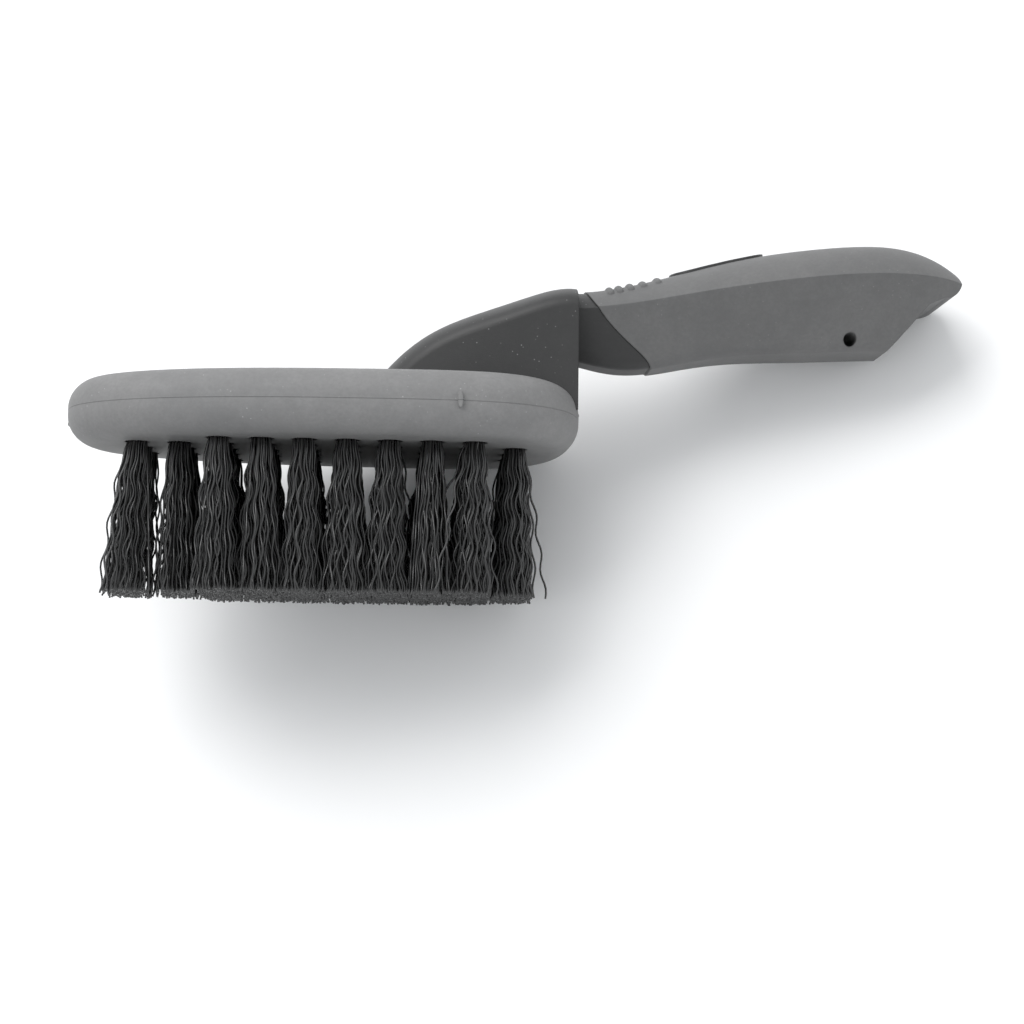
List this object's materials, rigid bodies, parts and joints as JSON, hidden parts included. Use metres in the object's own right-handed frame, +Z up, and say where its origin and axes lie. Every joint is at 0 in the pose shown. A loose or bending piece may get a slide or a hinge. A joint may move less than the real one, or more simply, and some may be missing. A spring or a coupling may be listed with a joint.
{
  "type": "wheel brush",
  "caption": "Short-handled wheel brush lying on its side, with crimped black tufts in a rounded head edged by a soft bumper and a soft overmoulded grip.",
  "frame": {"origin": "middle of the bounding box, on the surface that the brush lies on", "axes": "+X from the head to the end of the handle, +Z up from the surface, tufts pointing towards -Y; the brush lies on its side, on its bumper, one tuft and the side of its grip"},
  "size_m": [0.12, 0.0526, 0.0451],
  "materials": {
    "core": "fine matte moulded",
    "bumper": "matte soft moulding",
    "grip": "matte soft moulding",
    "filament": "satin crimped monofilament",
    "anchor_wire": "drawn flat wire"
  },
  "bodies": {
    "root": {"anchors_row_1": "anchor_wire", "anchors_row_2": "anchor_wire", "anchors_row_3": "anchor_wire", "anchors_row_4": "anchor_wire", "anchors_row_5": "anchor_wire", "body_core": "core", "handle_grip": "grip", "head_bumper": "bumper", "tuft_row_1_03": "filament", "tuft_row_1_04": "filament", "tuft_row_1_05": "filament", "tuft_row_1_06": "filament", "tuft_row_1_07": "filament", "tuft_row_1_08": "filament", "tuft_row_1_09": "filament", "tuft_row_2_01": "filament", "tuft_row_2_02": "filament", "tuft_row_2_03": "filament", "tuft_row_2_04": "filament", "tuft_row_2_05": "filament", "tuft_row_2_06": "filament", "tuft_row_2_07": "filament", "tuft_row_2_08": "filament", "tuft_row_2_09": "filament", "tuft_row_2_10": "filament", "tuft_row_3_01": "filament", "tuft_row_3_02": "filament", "tuft_row_3_03": "filament", "tuft_row_3_04": "filament", "tuft_row_3_05": "filament", "tuft_row_3_06": "filament", "tuft_row_3_07": "filament", "tuft_row_3_08": "filament", "tuft_row_3_09": "filament", "tuft_row_3_10": "filament", "tuft_row_4_01": "filament", "tuft_row_4_02": "filament", "tuft_row_4_03": "filament", "tuft_row_4_04": "filament", "tuft_row_4_05": "filament", "tuft_row_4_06": "filament", "tuft_row_4_07": "filament", "tuft_row_4_08": "filament", "tuft_row_4_09": "filament", "tuft_row_4_10": "filament", "tuft_row_5_03": "filament", "tuft_row_5_04": "filament", "tuft_row_5_05": "filament", "tuft_row_5_06": "filament", "tuft_row_5_07": "filament", "tuft_row_5_08": "filament", "tuft_row_5_09": "filament"}
  },
  "joints": []
}
